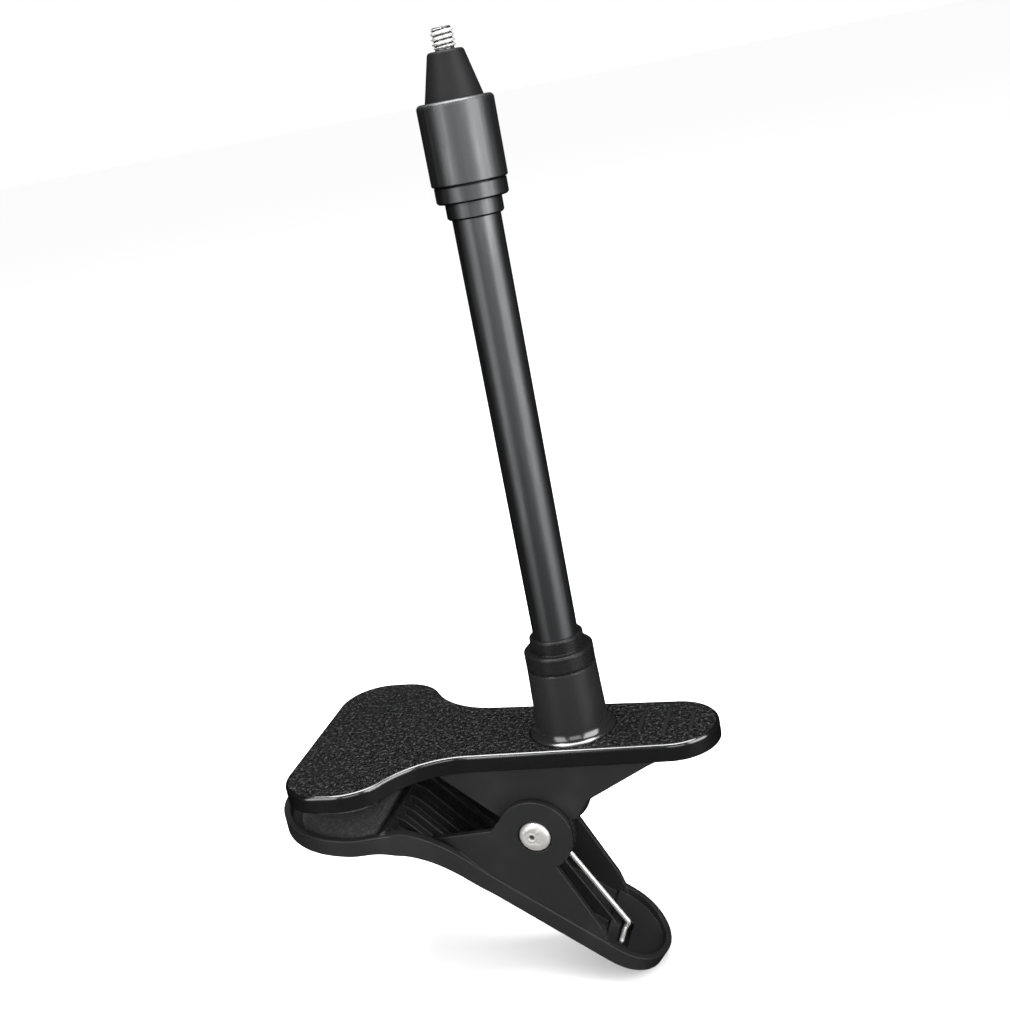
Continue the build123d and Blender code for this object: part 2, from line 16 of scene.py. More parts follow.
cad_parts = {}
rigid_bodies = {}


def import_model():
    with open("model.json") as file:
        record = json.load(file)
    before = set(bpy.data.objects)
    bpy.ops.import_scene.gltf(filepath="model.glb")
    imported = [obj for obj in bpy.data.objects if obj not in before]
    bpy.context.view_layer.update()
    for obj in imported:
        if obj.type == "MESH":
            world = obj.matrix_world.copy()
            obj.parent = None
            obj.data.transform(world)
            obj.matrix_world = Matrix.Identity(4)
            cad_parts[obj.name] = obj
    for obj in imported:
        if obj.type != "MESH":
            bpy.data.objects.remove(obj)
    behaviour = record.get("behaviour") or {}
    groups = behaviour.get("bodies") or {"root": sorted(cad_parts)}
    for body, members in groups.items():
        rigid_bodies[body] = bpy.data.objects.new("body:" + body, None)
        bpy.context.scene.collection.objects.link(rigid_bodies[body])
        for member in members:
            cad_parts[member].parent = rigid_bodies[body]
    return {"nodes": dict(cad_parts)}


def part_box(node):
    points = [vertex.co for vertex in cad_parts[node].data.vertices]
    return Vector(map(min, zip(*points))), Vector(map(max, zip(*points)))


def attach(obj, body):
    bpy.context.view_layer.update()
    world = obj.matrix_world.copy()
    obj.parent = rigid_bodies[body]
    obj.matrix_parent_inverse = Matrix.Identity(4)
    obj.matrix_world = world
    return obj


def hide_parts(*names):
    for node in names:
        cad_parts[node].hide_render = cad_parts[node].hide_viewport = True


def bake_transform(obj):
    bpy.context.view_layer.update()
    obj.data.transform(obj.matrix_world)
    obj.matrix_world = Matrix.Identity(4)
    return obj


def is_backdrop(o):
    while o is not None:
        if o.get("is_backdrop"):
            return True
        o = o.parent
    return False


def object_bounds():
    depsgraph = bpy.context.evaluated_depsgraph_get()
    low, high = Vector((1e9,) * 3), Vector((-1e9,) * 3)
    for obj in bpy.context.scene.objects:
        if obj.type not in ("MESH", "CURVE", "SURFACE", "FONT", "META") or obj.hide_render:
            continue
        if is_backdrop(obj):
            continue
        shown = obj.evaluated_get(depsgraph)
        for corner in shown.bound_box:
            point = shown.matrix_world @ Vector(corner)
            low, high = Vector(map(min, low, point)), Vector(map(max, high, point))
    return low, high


LOG = logging.getLogger("holder_stand")
MM = 0.001
Colour = tuple[float, float, float]
# Sockets of the Mix node that carry colours; names alone find the plain-number ones.
MIX_FIRST, MIX_SECOND, MIX_RESULT = 6, 7, 2
# Near-black painted near a point or axis: painted shade in the stud's thread roots, and darkening round the
# rivet's dimple.
SHADE_AND_GRIME: Colour = (0.012, 0.012, 0.012)


class Body(Enum):
    """Bodies that the detailed pieces ride on."""

    CLIP = "clip_body"
    JAW = "jaw"
    NOSE = "nose"


# ---- node and mesh helpers -------------------------------------------------------
class NodeSheet:
    """One material's node tree with short ways to add nodes and links."""

    def __init__(self, name: str) -> None:
        """Makes an empty node material.

        Args:
            name: name of the material.
        """
        self.material = bpy.data.materials.new(name)
        self.material.use_nodes = True
        self.tree = self.material.node_tree
        self.tree.nodes.clear()
        self.shader = self.tree.nodes.new("ShaderNodeBsdfPrincipled")
        out = self.tree.nodes.new("ShaderNodeOutputMaterial")
        self.tree.links.new(self.shader.outputs[0], out.inputs["Surface"])
        self.place = self.tree.nodes.new("ShaderNodeTexCoord")
        self.point = self.scaled((1 / MM, 1 / MM, 1 / MM))

    def join(self, source: bpy.types.NodeSocket, target: bpy.types.NodeSocket) -> None:
        """Links one socket to another."""
        self.tree.links.new(source, target)

    def feed(self, target: bpy.types.NodeSocket, value: object) -> None:
        """Gives a socket a link or a plain value.

        Args:
            target: input socket.
            value: a socket to link from, or the value to set.
        """
        if isinstance(value, bpy.types.NodeSocket):
            self.join(value, target)
        else:
            target.default_value = value

    def scaled(self, scale: Colour) -> bpy.types.NodeSocket:
        """Object coordinates in millimetres, stretched per axis.

        Args:
            scale: factor along X, Y and Z.

        Returns:
            The scaled point.
        """
        return self.vector("MULTIPLY", self.place.outputs["Object"], scale).outputs[0]

    def vector(self, kind: str, a: bpy.types.NodeSocket,
               b: Sequence[float] | None = None) -> bpy.types.Node:
        """One step of vector arithmetic.

        Args:
            kind: operation of the Vector Math node.
            a: socket of the first vector.
            b: second vector, where the operation has one.

        Returns:
            The node, whose outputs hold the result.
        """
        node = self.tree.nodes.new("ShaderNodeVectorMath")
        node.operation = kind
        self.join(a, node.inputs[0])
        if b is not None:
            node.inputs[1].default_value = b
        return node

    def product(self, a: object, b: object) -> bpy.types.NodeSocket:
        """Product of two values or sockets."""
        return self.maths("MULTIPLY", a, b)

    def blend_in(self, a: object, factor: float, base: object) -> bpy.types.NodeSocket:
        """Base plus a factor times a value.

        Args:
            a: value or socket to add.
            factor: how much of it is added.
            base: value or socket it is added to.

        Returns:
            The sum.
        """
        return self.maths("MULTIPLY_ADD", a, factor, base)

    def maths(self, kind: str, *values: object, clamp: bool = False) -> bpy.types.NodeSocket:
        """One arithmetic step.

        Args:
            kind: operation of the Math node.
            values: its values or sockets, in order.
            clamp: whether the result is kept between 0 and 1.

        Returns:
            The result.
        """
        node = self.tree.nodes.new("ShaderNodeMath")
        node.operation = kind
        node.use_clamp = clamp
        for socket, value in zip(node.inputs, values):
            self.feed(socket, value)
        return node.outputs[0]

    def ramp(self, value: bpy.types.NodeSocket, low: float, high: float,
             to_low: float = 0.0, to_high: float = 1.0) -> bpy.types.NodeSocket:
        """Smooth step of a value from one range to another.

        Args:
            value: socket to map.
            low: start of the input range.
            high: end of the input range.
            to_low: result at the start.
            to_high: result at the end.

        Returns:
            The mapped value.
        """
        node = self.tree.nodes.new("ShaderNodeMapRange")
        node.interpolation_type = "SMOOTHSTEP"
        self.feed(node.inputs["Value"], value)
        node.inputs["From Min"].default_value = low
        node.inputs["From Max"].default_value = high
        node.inputs["To Min"].default_value = to_low
        node.inputs["To Max"].default_value = to_high
        return node.outputs["Result"]

    def cloud(self, scale: float, detail: float = 3.0, rough: float = 0.55,
              point: bpy.types.NodeSocket | None = None) -> bpy.types.NodeSocket:
        """Soft noise.

        Args:
            scale: features per millimetre.
            detail: octaves.
            rough: share of the finer octaves.
            point: where it is read; plain millimetres by default.

        Returns:
            Noise from 0 to 1.
        """
        node = self.tree.nodes.new("ShaderNodeTexNoise")
        node.inputs["Scale"].default_value = scale
        node.inputs["Detail"].default_value = detail
        node.inputs["Roughness"].default_value = rough
        self.join(point or self.point, node.inputs["Vector"])
        return node.outputs["Fac"]

    def cells(self, scale: float, feature: str = "F1") -> bpy.types.NodeSocket:
        """Distance pattern of scattered cells.

        Args:
            scale: cells per millimetre.
            feature: which distance is read.

        Returns:
            Distance from 0 up.
        """
        node = self.tree.nodes.new("ShaderNodeTexVoronoi")
        node.feature = feature
        node.inputs["Scale"].default_value = scale
        node.inputs["Randomness"].default_value = 1.0
        self.join(self.point, node.inputs["Vector"])
        return node.outputs["Distance"]

    def mix(self, share: object, first: object, second: object) -> bpy.types.NodeSocket:
        """Blend of two colours.

        Args:
            share: 0 for the first, 1 for the second.
            first: colour or socket at 0.
            second: colour or socket at 1.

        Returns:
            The blended colour.
        """
        node = self.tree.nodes.new("ShaderNodeMix")
        node.data_type = "RGBA"
        self.feed(node.inputs["Factor"], share)
        for index, value in ((MIX_FIRST, first), (MIX_SECOND, second)):
            self.feed(node.inputs[index], (*value, 1.0) if isinstance(value, tuple) else value)
        return node.outputs[MIX_RESULT]

    def tint(self, share: object, first: object, second: object) -> None:
        """Sets the base colour to a blend of two colours.

        Args:
            share: 0 for the first, 1 for the second.
            first: colour or socket at 0.
            second: colour or socket at 1.
        """
        self.join(self.mix(share, first, second), self.shader.inputs["Base Color"])

    def rough(self, value: bpy.types.NodeSocket) -> None:
        """Links the roughness."""
        self.join(value, self.shader.inputs["Roughness"])

    def bump(self, height: bpy.types.NodeSocket, depth_mm: float, strength: float = 1.0) -> None:
        """Adds one bump layer on top of those before it.

        Args:
            height: height from 0 to 1.
            depth_mm: depth of the full height.
            strength: share of the bump that is used.
        """
        node = self.tree.nodes.new("ShaderNodeBump")
        node.inputs["Distance"].default_value = depth_mm * MM
        node.inputs["Strength"].default_value = strength
        self.join(height, node.inputs["Height"])
        socket = self.shader.inputs["Normal"]
        if socket.is_linked:
            self.join(socket.links[0].from_socket, node.inputs["Normal"])
        self.join(node.outputs["Normal"], socket)

    def soft_edges(self, radius_mm: float) -> None:
        """Lets light catch the edges as if they were rounded.

        Args:
            radius_mm: radius of the rounding.
        """
        node = self.tree.nodes.new("ShaderNodeBevel")
        node.samples = 6
        node.inputs["Radius"].default_value = radius_mm * MM
        self.join(node.outputs["Normal"], self.shader.inputs["Normal"])

    def reach(self, centre: Vector, stretch: Colour) -> bpy.types.NodeSocket:
        """Distance from a point in millimetres.

        Args:
            centre: the point, in metres.
            stretch: weight of each axis; 0 leaves an axis out.

        Returns:
            The distance.
        """
        away = self.vector("SUBTRACT", self.place.outputs["Object"], centre)
        scaled = self.vector("MULTIPLY", away.outputs[0], tuple(k / MM for k in stretch))
        return self.vector("LENGTH", scaled.outputs[0]).outputs["Value"]

    def up(self) -> bpy.types.NodeSocket:
        """How far the surface faces up, in the piece's own frame."""
        return self.z_of(self.place.outputs["Normal"])

    def height(self) -> bpy.types.NodeSocket:
        """Height in millimetres."""
        return self.z_of(self.point)

    def z_of(self, vector: bpy.types.NodeSocket) -> bpy.types.NodeSocket:
        """Z part of a vector.

        Args:
            vector: socket of the vector.

        Returns:
            The part.
        """
        node = self.tree.nodes.new("ShaderNodeSeparateXYZ")
        self.join(vector, node.inputs[0])
        return node.outputs["Z"]


def band_faces(rings: int, count: int) -> list[tuple[int, ...]]:
    """Faces that join rings of points one after another.

    Args:
        rings: number of rings.
        count: points in each ring.

    Returns:
        The faces, as point numbers.
    """
    faces = []
    for k in range(rings - 1):
        for i in range(count):
            j = (i + 1) % count
            faces.append((k * count + i, k * count + j, (k + 1) * count + j, (k + 1) * count + i))
    return faces


def skin(name: str, rings: Sequence[np.ndarray], smooth_deg: float = 40.0) -> bpy.types.Object:
    """Closed mesh through rings of points, with a fan at each end.

    Args:
        name: name of the piece.
        rings: arrays of points, all with the same count, from one end to the other.
        smooth_deg: edges sharper than this stay crisp.

    Returns:
        The new object.
    """
    count = len(rings[0])
    verts = [tuple(p) for ring in rings for p in ring]
    faces = band_faces(len(rings), count)
    last = (len(rings) - 1) * count
    verts.append(tuple(rings[0].mean(0)))
    verts.append(tuple(rings[-1].mean(0)))
    for i in range(count):
        j = (i + 1) % count
        faces.append((j, i, len(verts) - 2))
        faces.append((last + i, last + j, len(verts) - 1))
    mesh = bpy.data.meshes.new(name)
    mesh.from_pydata(verts, [], faces)
    mesh.validate()
    piece = bpy.data.objects.new(name, mesh)
    bpy.context.scene.collection.objects.link(piece)
    settle_normals(piece, smooth_deg)
    return piece


def settle_normals(piece: bpy.types.Object, smooth_deg: float) -> None:
    """Turns faces outwards and shades them smooth up to an angle.

    Args:
        piece: mesh object.
        smooth_deg: edges sharper than this stay crisp.
    """
    work = bmesh.new()
    work.from_mesh(piece.data)
    bmesh.ops.recalc_face_normals(work, faces=work.faces)
    for face in work.faces:
        face.smooth = True
    limit = math.radians(smooth_deg)
    for edge in work.edges:
        if len(edge.link_faces) == 2 and edge.calc_face_angle(0.0) > limit:
            edge.smooth = False
    work.to_mesh(piece.data)
    work.free()


def circle(radius: float, height: float, count: int = 64) -> np.ndarray:
    """Level ring of points about the Z axis, in millimetres.

    Args:
        radius: ring radius.
        height: ring height.
        count: number of points.

    Returns:
        The points.
    """
    a = np.linspace(0, 2 * math.pi, count, endpoint=False)
    return np.stack([radius * np.cos(a), radius * np.sin(a), np.full(count, height)], 1)


def tube(name: str, line: np.ndarray, radius: float, count: int = 14) -> bpy.types.Object:
    """Round wire along a line of close points.

    Args:
        name: name of the piece.
        line: points of the centre line, in metres.
        radius: wire radius in metres.
        count: points round the wire.

    Returns:
        The new object.
    """
    tangent = np.gradient(line, axis=0)
    tangent /= np.linalg.norm(tangent, axis=1)[:, None]
    side = np.cross(tangent[0], (0.3, 0.9, 0.2))
    a = np.linspace(0, 2 * math.pi, count, endpoint=False)
    shrink, push = 0.55, 0.45
    last = len(line) - 1
    rings = []
    for k, point in enumerate(line):
        side = side - tangent[k] * (side @ tangent[k])
        side /= np.linalg.norm(side)
        other = np.cross(tangent[k], side)
        spoke = (np.outer(np.cos(a), side) + np.outer(np.sin(a), other)) * radius
        if k == 0:
            rings.append(point - tangent[k] * push * radius + spoke * shrink)
        rings.append(point + spoke)
        if k == last:
            rings.append(point + tangent[k] * push * radius + spoke * shrink)
    return skin(name, rings, 60.0)


# ---- finishes ----------------------------------------------------------------------
@dataclass(frozen=True)
class Finish:
    """What every finish has: colour, gloss and a way to add its own detail."""

    name: str
    colour: Colour
    roughness: float
    metallic: float = 0.0
    specular: float = 0.5

    def material(self) -> bpy.types.Material:
        """Builds the finish's material.

        Returns:
            The material, ready to assign.
        """
        sheet = NodeSheet(self.name)
        shader = sheet.shader
        shader.inputs["Base Color"].default_value = (*self.colour, 1.0)
        shader.inputs["Roughness"].default_value = self.roughness
        shader.inputs["Metallic"].default_value = self.metallic
        shader.inputs["Specular IOR Level"].default_value = self.specular
        self.detail(sheet)
        return sheet.material

    def detail(self, sheet: NodeSheet) -> None:
        """Adds the grain, wear and bump of this finish; plain by default."""

    def lighter(self, factor: float) -> Colour:
        """The colour times a factor."""
        return tuple(min(1.0, c * factor) for c in self.colour)


@dataclass(frozen=True)
class MouldedPlastic(Finish):
    """Injection-moulded satin plastic."""

    edge_mm: float = 0.45
    fine_scale: float = 2.6
    fine_mm: float = 0.020
    wave_scale: float = 0.25
    wave_mm: float = 0.10
    rub_scale: float = 0.06
    rub_tone: float = 1.28
    gloss_down: float = 0.05
    gloss_up: float = 0.06

    def detail(self, sheet: NodeSheet) -> None:
        """Adds soft edges, fine satin texture and pale rubbed patches.

        Args:
            sheet: the material's sheet.
        """
        sheet.soft_edges(self.edge_mm)
        fine = sheet.cloud(self.fine_scale, 3.0)
        sheet.bump(fine, self.fine_mm, 0.55)
        sheet.bump(sheet.cloud(self.wave_scale, 2.0), self.wave_mm, 0.25)
        rub = sheet.ramp(sheet.cloud(self.rub_scale, 2.0), 0.45, 0.72)
        gloss = sheet.ramp(fine, 0.3, 0.7, self.roughness - self.gloss_down, self.roughness + self.gloss_up)
        self.surface(sheet, rub, gloss)

    def surface(self, sheet: NodeSheet, rub: bpy.types.NodeSocket, gloss: bpy.types.NodeSocket) -> None:
        """Sets colour and roughness from the common texture.

        Args:
            sheet: the material's sheet.
            rub: share of rubbed surface.
            gloss: roughness of the plain surface.
        """
        sheet.tint(rub, self.colour, self.lighter(self.rub_tone))
        sheet.rough(gloss)


@dataclass(frozen=True)
class GrainedPlastic(MouldedPlastic):
    """Moulded plastic with leather grain on its top face and a glossy rounded rim, whose colour holds
    painted glints, painted light and painted shade.
    """

    grain_top: float = 0.0
    cell_scale: float = 1.25
    blast_scale: float = 1.2
    # The next field sets the size of the painted glint flecks on the top face.
    glint_scale: float = 0.95
    skirt_deep: float = 5.4
    # Painted light and shade: lighter tones for the cheeks and their rubbed patches, a darker tone for the
    # skirt.
    cheek_lit_tone: float = 1.35
    cheek_rub_lit_tone: float = 1.75
    skirt_shade_tone: float = 0.45
    # The next two fields set the near-black ground and the pale painted glint flecks of the top face.
    speckle_dark_tone: float = 0.05
    glint_tone: float = 5.6
    grain_mm: float = 0.80
    grain_dull: float = 0.05
    rim_polish: float = 0.16
    rim_rough: float = 0.16
    rim_ior: float = 1.9

    def surface(self, sheet: NodeSheet, rub: bpy.types.NodeSocket, gloss: bpy.types.NodeSocket) -> None:
        """Sets colour, grain and gloss of the top, the rim, the skirt and the cheeks, with painted glints
        on the top, painted light on the cheeks and painted shade on the skirt.

        Args:
            sheet: the material's sheet.
            rub: share of rubbed surface.
            gloss: roughness of the plain surface.
        """
        top = self.grain_top
        up = sheet.up()
        height = sheet.height()
        below = sheet.ramp(height, top + 0.06, top + 0.22, 1.0, 0.0)
        level = sheet.ramp(height, top - 0.5, top - 0.1)
        grained = sheet.product(sheet.product(sheet.ramp(up, 0.955, 0.992), level), below)
        blast = sheet.cloud(self.blast_scale, 2.0, 0.7)
        lumps = sheet.blend_in(sheet.cells(self.cell_scale, "SMOOTH_F1"), 0.9, blast)
        sheet.bump(sheet.product(lumps, grained), self.grain_mm)
        # Painted light and shade: the cheeks get a lighter copy of the plastic's black (rubbed wear patches
        # lighter still) and the skirt band under the rim a darker copy, for how the light falls on them.
        skirt = sheet.ramp(height, top - self.skirt_deep - 0.3, top - self.skirt_deep)
        lit_cheek = sheet.mix(rub, self.lighter(self.cheek_lit_tone), self.lighter(self.cheek_rub_lit_tone))
        side = sheet.mix(sheet.product(skirt, below), lit_cheek, self.lighter(self.skirt_shade_tone))
        # Painted glints: pale flecks on a near-black ground stand in for the glints of light off the grain.
        glint_flecks = sheet.ramp(sheet.cloud(self.glint_scale, 2.0, 0.7), 0.54, 0.64)
        face = sheet.mix(glint_flecks, self.lighter(self.speckle_dark_tone), self.lighter(self.glint_tone))
        sheet.tint(grained, side, face)
        rim = sheet.product(sheet.ramp(up, 0.10, 0.35), sheet.ramp(up, 0.995, 0.93))
        sheet.join(rim, sheet.shader.inputs["Coat Weight"])
        sheet.shader.inputs["Coat Roughness"].default_value = self.rim_rough
        sheet.shader.inputs["Coat IOR"].default_value = self.rim_ior
        polished = sheet.blend_in(rim, -self.rim_polish, gloss)
        sheet.rough(sheet.blend_in(grained, self.grain_dull, polished))


@dataclass(frozen=True)
class FoamRubber(Finish):
    """Soft rubber with a pebbled, slightly dusty skin."""

    pebble_scale: float = 1.3
    pore_scale: float = 2.9
    soft_scale: float = 0.9
    dust_tone: float = 2.2
    sheen: float = 0.10

    def detail(self, sheet: NodeSheet) -> None:
        """Adds pebbles, pinholes and pale dust on the high spots.

        Args:
            sheet: the material's sheet.
        """
        pebble = sheet.cells(self.pebble_scale, "SMOOTH_F1")
        pores = sheet.ramp(sheet.cells(self.pore_scale), 0.10, 0.28)
        soft = sheet.cloud(self.soft_scale, 4.0, 0.65)
        sheet.bump(pebble, 0.30, 0.8)
        sheet.bump(soft, 0.35, 0.6)
        sheet.bump(pores, 0.12, 0.5)
        dust = sheet.ramp(soft, 0.45, 0.68)
        sheet.tint(dust, self.colour, self.lighter(self.dust_tone))
        sheet.rough(sheet.ramp(pebble, 0.1, 0.6, self.roughness - 0.08, self.roughness + 0.06))
        sheet.shader.inputs["Sheen Weight"].default_value = self.sheen


@dataclass(frozen=True)
class SatinCoat(Finish):
    """Satin graphite coat over turned metal."""

    draw_mm: float = 0.02
    draw_stretch: Colour = (900.0, 900.0, 22.0)
    peel_mm: float = 0.012
    streak_stretch: Colour = (1000.0, 1000.0, 160.0)
    worn_tone: float = 1.35

    def detail(self, sheet: NodeSheet) -> None:
        """Adds long draw marks, a fine orange peel and faint rubbed streaks.

        Args:
            sheet: the material's sheet.
        """
        long = sheet.cloud(1.0, 3.0, 0.6, sheet.scaled(self.draw_stretch))
        peel = sheet.cloud(1.6, 2.0)
        streak = sheet.cloud(0.22, 3.0, 0.6, sheet.scaled(self.streak_stretch))
        sheet.bump(long, self.draw_mm, 0.35)
        sheet.bump(peel, self.peel_mm, 0.5)
        worn = sheet.ramp(streak, 0.50, 0.80)
        sheet.tint(worn, self.colour, self.lighter(self.worn_tone))
        sheet.rough(sheet.ramp(long, 0.25, 0.75, self.roughness - 0.05, self.roughness + 0.06))


@dataclass(frozen=True)
class BareMetal(Finish):
    """Bright or plain metal with fine tool marks and a few dull smears."""

    mark_scale: float = 1.2
    smear: float = 0.5
    depth: float = 0.02

    def detail(self, sheet: NodeSheet) -> None:
        """Adds tool marks, dull smears and darker flecks.

        Args:
            sheet: the material's sheet.
        """
        marks = sheet.cloud(self.mark_scale, 4.0, 0.7)
        film = sheet.cloud(0.45, 3.0, 0.6)
        dull = sheet.ramp(film, 0.42, 0.70)
        sheet.bump(marks, self.depth, 0.6)
        dark = self.lighter(1.0 - 0.55 * self.smear)
        fleck = sheet.ramp(marks, 0.60, 0.78)
        share = sheet.maths("MULTIPLY", fleck, sheet.blend_in(dull, 0.6, 0.35), clamp=True)
        sheet.tint(share, self.colour, dark)
        sheet.rough(sheet.ramp(film, 0.3, 0.75, self.roughness, self.roughness + 0.22 * self.smear))


@dataclass(frozen=True)
class GrimeAndShadeMetal(BareMetal):
    """Metal darkened near a point or an axis: painted shade in thread roots, a darker patch round a dimple.
    """

    centre: Colour = (0.0, 0.0, 0.0)
    stretch: Colour = (1.0, 1.0, 1.0)
    inner: float = 0.5
    outer: float = 1.0
    # Strength of the near-black painted near the point or axis.
    shade_and_grime: float = 0.85

    def detail(self, sheet: NodeSheet) -> None:
        """Adds the plain metal's marks, then the near-black painted near the point or axis.

        Args:
            sheet: the material's sheet.
        """
        BareMetal.detail(self, sheet)
        clean = sheet.shader.inputs["Base Color"].links[0].from_socket
        away = sheet.reach(Vector(self.centre), self.stretch)
        wobble = sheet.blend_in(sheet.cloud(2.2, 2.0), 0.35, away)
        # Darker towards the point or axis: painted shade in thread roots, and the patch round the rivet's
        # dimple.
        share = sheet.ramp(wobble, self.inner, self.outer, self.shade_and_grime, 0.0)
        sheet.tint(share, clean, SHADE_AND_GRIME)


UPPER_BLACK: Colour = (0.0085, 0.0085, 0.0089)
LOWER_BLACK: Colour = (0.0100, 0.0100, 0.0104)
FOAM = FoamRubber("foam_rubber", (0.016, 0.016, 0.0165), roughness=0.78, specular=0.35)
POLE_COAT = SatinCoat("pole_satin", (0.118, 0.120, 0.124), roughness=0.42, metallic=1.0, specular=0.4)
COLLAR_COAT = SatinCoat("collar_satin", (0.135, 0.137, 0.141), roughness=0.44, metallic=1.0, specular=0.4)
NOSE_BLACK = MouldedPlastic("nose_black", (0.0065, 0.0065, 0.0072), roughness=0.50, specular=0.24)
FERRULE_BLACK = MouldedPlastic("ferrule_black", (0.0065, 0.0065, 0.0069), roughness=0.30, specular=0.34)
WIRE = BareMetal("spring_steel", (0.80, 0.80, 0.78), roughness=0.30, metallic=0.7,
                 mark_scale=1.6, smear=0.4, depth=0.015)
ZINC = BareMetal("plain_steel", (0.50, 0.50, 0.50), roughness=0.36, metallic=0.9,
                 mark_scale=1.1, smear=0.8, depth=0.03)
NYLON = FoamRubber("disc_nylon", (0.62, 0.60, 0.55), roughness=0.45)


def dress(node: bpy.types.Object, material: bpy.types.Material) -> None:
    """Gives an object one material in place of what it had.

    Args:
        node: object to dress.
        material: its new material.
    """
    if node.material_slots:
        for slot in node.material_slots:
            slot.material = material
    else:
        node.data.materials.append(material)


# ---- sub-assemblies ------------------------------------------------------------------
@dataclass
class Assembly:
    """What every sub-assembly shares: the CAD nodes and a way to report."""

    nodes: dict[str, bpy.types.Object]

    def dress_node(self, name: str, finish: Finish) -> None:
        """Dresses one CAD node.

        Args:
            name: node name.
            finish: its finish.
        """
        dress(self.nodes[name], finish.material())
        LOG.info("dressed %s in %s", name, finish.name)

    def stand_in(self, piece: bpy.types.Object, node: str, body: Body | None,
                 slot: str, finish: Finish) -> None:
        """Puts a detailed piece in a CAD node's place.

        Args:
            piece: the detailed piece.
            node: CAD node it replaces.
            body: body it rides on, or None where it is left on no body.
            slot: material slot of the record; not used.
            finish: its finish.
        """
        dress(piece, finish.material())
        if body is not None:
            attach(piece, body.value)
        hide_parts(node)
        LOG.info("built %s for %s with %d faces", piece.name, node, len(piece.data.polygons))


@dataclass
class SpringClip(Assembly):
    """The two moulded jaws."""

    plate_thick: float = 2.6 * MM

    def build(self) -> None:
        """Dresses both jaws."""
        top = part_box("base_washer")[1].z + self.plate_thick
        grained = GrainedPlastic("clip_grained", UPPER_BLACK, roughness=0.34, specular=0.28,
                                 grain_top=top / MM)
        plain = MouldedPlastic("clip_satin", LOWER_BLACK, roughness=0.38)
        self.dress_node("upper_jaw", grained)
        self.dress_node("lower_jaw", plain)


@dataclass
class GripPads(Assembly):
    """Soft pads between the jaws."""

    voxel: float = 0.75 * MM
    ease: int = 7
    swell: float = 0.10 * MM
    pebble: float = 0.07 * MM
    lump_scale: float = 900.0
    pit_scale: float = 2100.0
    roll_width: float = 7.5 * MM
    roll_drop: float = 1.7 * MM
    wall_slope: float = 0.35

    def blank(self, node: str) -> bpy.types.Object:
        """Evenly meshed and smoothed copy of a CAD pad.

        Args:
            node: CAD node of the pad.

        Returns:
            The copy.
        """
        source = bpy.data.objects.new(node + "_soft", self.nodes[node].data.copy())
        bpy.context.scene.collection.objects.link(source)
        remesh = source.modifiers.new("remesh", "REMESH")
        remesh.mode = "VOXEL"
        remesh.voxel_size = self.voxel
        smooth = source.modifiers.new("smooth", "SMOOTH")
        smooth.factor = 0.5
        smooth.iterations = self.ease
        bpy.context.view_layer.update()
        graph = bpy.context.evaluated_depsgraph_get()
        mesh = bpy.data.meshes.new_from_object(source.evaluated_get(graph))
        source.modifiers.clear()
        source.data = mesh
        mesh.materials.clear()
        settle_normals(source, 180.0)
        return source

    def edge_tree(self, mesh: bpy.types.Mesh) -> KDTree:
        """Search tree of the points on the pad's side walls, seen from above.

        Args:
            mesh: the pad's mesh.

        Returns:
            The tree.
        """
        walls = [v.co for v in mesh.vertices if abs(v.normal.z) < self.wall_slope]
        tree = KDTree(len(walls))
        for k, point in enumerate(walls):
            tree.insert((point.x, point.y, 0.0), k)
        tree.balance()
        return tree

    def pad(self, node: str, body: Body, crown_up: float) -> None:
        """Pad with rounded edges and an uneven skin, from the CAD pad's own shape.

        Args:
            node: CAD node of the pad.
            body: body it rides on.
            crown_up: 1 if the grip face looks up, -1 if down.
        """
        piece = self.blank(node)
        mesh = piece.data
        low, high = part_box(node)
        base = low.z if crown_up > 0 else high.z
        tree = self.edge_tree(mesh)
        normals = [v.normal.copy() for v in mesh.vertices]
        for vertex, normal in zip(mesh.vertices, normals):
            facing = max(0.0, normal.z * crown_up)
            lump = noise.noise(vertex.co * self.lump_scale) + 0.6 * noise.noise(vertex.co * self.pit_scale)
            moved = vertex.co + normal * (self.swell + self.pebble * lump * facing)
            away = tree.find((vertex.co.x, vertex.co.y, 0.0))[2] / self.roll_width
            rise = abs(vertex.co.z - base) / (high.z - low.z)
            moved.z -= crown_up * self.roll_drop * rise * max(0.0, 1.0 - away) ** 2
            for axis in range(3):
                moved[axis] = min(max(moved[axis], low[axis]), high[axis])
            vertex.co = moved
        self.stand_in(piece, node, body, "grip_pad", FOAM)

    def build(self) -> None:
        """Builds both pads."""
        self.pad("upper_pad", Body.CLIP, -1.0)
        self.pad("lower_pad", Body.JAW, 1.0)


